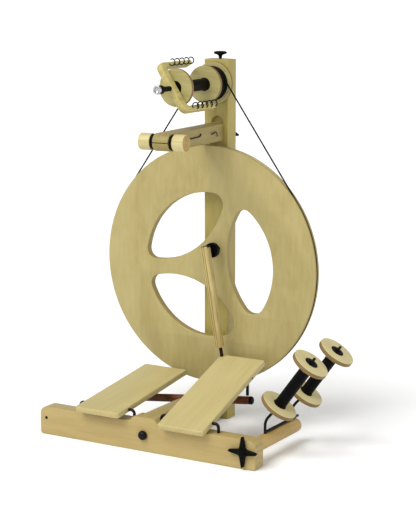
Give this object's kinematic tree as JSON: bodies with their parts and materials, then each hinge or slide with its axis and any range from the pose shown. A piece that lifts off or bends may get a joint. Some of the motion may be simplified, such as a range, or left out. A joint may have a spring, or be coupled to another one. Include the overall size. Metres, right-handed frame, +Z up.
{
  "type": "spinning wheel",
  "caption": "Upright treadle spinning wheel with a flat wooden drive wheel, flyer and bobbin on a post, rocking treadles and a bobbin rack.",
  "frame": {"origin": "middle of the underside of the front foot beam, on the floor", "axes": "+Z up; +X to the spinner's right along the beam; +Y back from the beam to the post"},
  "size_m": [0.6084, 0.3576, 0.7795],
  "materials": {
    "beech_bar": "clear satin lacquer on pale solid wood",
    "birch_ply": "clear satin lacquer on birch plywood",
    "turned_birch": "clear satin lacquer on turned pale wood",
    "dark_dowel": "dark reddish brown stained wood",
    "black_plastic": "moulded black plastic, satin",
    "black_wire": "blackened bent steel wire",
    "bright_steel": "bright plated steel",
    "band_rubber": "black stretch drive cord",
    "joint_cord": "dark brown flexible joint"
  },
  "bodies": {
    "frame": {"front_beam": "beech_bar", "centre_leg": "beech_bar", "post": "beech_bar", "beam_bolt": "black_wire", "hinge_wire_left": "black_wire", "hinge_wire_right": "black_wire", "rocker_pin": "bright_steel", "wheel_axle": "bright_steel", "flyer_bearing": "black_plastic", "tension_arm": "beech_bar", "threading_hook": "black_wire", "arm_keeper": "black_wire", "drive_band": "band_rubber"},
    "wheel": {"drive_wheel": "birch_ply", "wheel_hub": "black_plastic", "crank_pin": "black_wire", "crank_bearing": "black_plastic"},
    "treadle_right": {"treadle_right": "beech_bar"},
    "treadle_left": {"treadle_left": "beech_bar"},
    "link_right": {"link_wire_right": "black_wire"},
    "link_left": {"link_wire_left": "black_wire"},
    "rod": {"connecting_rod": "beech_bar", "rod_joint": "joint_cord"},
    "rocker": {"rocker_dowel": "dark_dowel", "rocker_cap_left": "black_plastic", "rocker_cap_right": "black_plastic"},
    "flyer": {"flyer_frame": "turned_birch", "orifice_ring": "bright_steel", "orifice_tube": "black_plastic", "flyer_shaft": "bright_steel", "flyer_whorl": "black_plastic", "rear_disc": "turned_birch", "flyer_hook_upper_1": "black_wire", "flyer_hook_upper_2": "black_wire", "flyer_hook_upper_3": "black_wire", "flyer_hook_upper_4": "black_wire", "flyer_hook_upper_5": "black_wire", "flyer_hook_lower_1": "black_wire", "flyer_hook_lower_2": "black_wire", "flyer_hook_lower_3": "black_wire", "flyer_hook_lower_4": "black_wire", "flyer_hook_lower_5": "black_wire"},
    "flyer_bobbin": {"bobbin_core": "black_plastic", "bobbin_front_flange": "turned_birch", "bobbin_rear_flange": "turned_birch"},
    "tension_peg": {"tension_peg": "beech_bar", "peg_ring_left": "black_plastic", "peg_ring_right": "black_plastic"},
    "arm_knob": {"arm_knob": "black_plastic"},
    "top_knob": {"top_knob": "black_plastic"},
    "rack_knob": {"rack_knob": "black_plastic"},
    "rack": {"rack_dowel": "beech_bar", "rack_wire": "black_wire"},
    "spare_bobbin_1": {"spare_bobbin_1_core": "black_plastic", "spare_bobbin_1_front_flange": "turned_birch", "spare_bobbin_1_rear_flange": "turned_birch"},
    "spare_bobbin_2": {"spare_bobbin_2_core": "black_plastic", "spare_bobbin_2_front_flange": "turned_birch", "spare_bobbin_2_rear_flange": "turned_birch"}
  },
  "joints": [
    {"name": "wheel_spin", "type": "hinge", "parent": "frame", "child": "wheel", "pos_m": [0, 0.2445, 0.3374], "axis": [0, 1, 0], "continuous": true},
    {"name": "flyer_spin", "type": "hinge", "parent": "frame", "child": "flyer", "pos_m": [0, 0.15, 0.7135], "axis": [0, 1, 0], "continuous": true},
    {"name": "bobbin_spin", "type": "hinge", "parent": "flyer", "child": "flyer_bobbin", "pos_m": [0, 0.1085, 0.7135], "axis": [0, 1, 0], "continuous": true},
    {"name": "treadle_right_hinge", "type": "hinge", "parent": "frame", "child": "treadle_right", "pos_m": [0.0975, 0, 0.076], "axis": [1, 0, 0], "range_deg": [-17, 5]},
    {"name": "treadle_left_hinge", "type": "hinge", "parent": "frame", "child": "treadle_left", "pos_m": [-0.0975, 0, 0.076], "axis": [1, 0, 0], "range_deg": [-5, 17]},
    {"name": "rocker_hinge", "type": "hinge", "parent": "frame", "child": "rocker", "pos_m": [0, 0.159, 0.063], "axis": [0, 1, 0], "range_deg": [-6, 20.1]},
    {"name": "link_right_hinge", "type": "hinge", "parent": "treadle_right", "child": "link_right", "pos_m": [0.138, 0.159, 0.12212], "axis": [1, 0, 0], "range_deg": [-5, 17]},
    {"name": "link_left_hinge", "type": "hinge", "parent": "treadle_left", "child": "link_left", "pos_m": [-0.138, 0.159, 0.08585], "axis": [1, 0, 0], "range_deg": [-17, 5]},
    {"name": "rod_hinge", "type": "hinge", "parent": "treadle_right", "child": "rod", "pos_m": [0.051, 0.204, 0.15864], "axis": [1, 0, 0], "range_deg": [-6.3, 21.2]},
    {"name": "peg_turn", "type": "hinge", "parent": "frame", "child": "tension_peg", "pos_m": [0.01329, 0.04369, 0.6126], "axis": [0.9982, 0.0593, 0], "continuous": true},
    {"name": "arm_knob_turn", "type": "hinge", "parent": "frame", "child": "arm_knob", "pos_m": [0, 0.3012, 0.6126], "axis": [0, 1, 0], "continuous": true},
    {"name": "top_knob_turn", "type": "hinge", "parent": "frame", "child": "top_knob", "pos_m": [0, 0.2844, 0.762], "axis": [0, 0, 1], "continuous": true},
    {"name": "rack_knob_turn", "type": "hinge", "parent": "frame", "child": "rack_knob", "pos_m": [0.229, -0.017, 0.036], "axis": [0, 1, 0], "continuous": true},
    {"name": "rack_tilt", "type": "hinge", "parent": "frame", "child": "rack", "pos_m": [0.229, 0, 0.036], "axis": [0, 1, 0], "range_deg": [-30, 40]},
    {"name": "spare_bobbin_1_spin", "type": "hinge", "parent": "rack", "child": "spare_bobbin_1", "pos_m": [0.25493, 0.06987, 0.10609], "axis": [0.5827, 0.051, 0.8111], "continuous": true},
    {"name": "spare_bobbin_2_spin", "type": "hinge", "parent": "rack", "child": "spare_bobbin_2", "pos_m": [0.25493, 0.18187, 0.10609], "axis": [0.5827, 0.051, 0.8111], "continuous": true}
  ],
  "couplings": [
    {"joint": "flyer_spin", "follows": "wheel_spin", "ratio": 7.565},
    {"joint": "treadle_left_hinge", "follows": "treadle_right_hinge", "ratio": -1},
    {"joint": "rocker_hinge", "follows": "treadle_right_hinge", "ratio": -1.176},
    {"joint": "link_right_hinge", "follows": "treadle_right_hinge", "ratio": -1},
    {"joint": "link_left_hinge", "follows": "treadle_right_hinge", "ratio": 1},
    {"joint": "rod_hinge", "follows": "treadle_right_hinge", "ratio": -1.24}
  ]
}
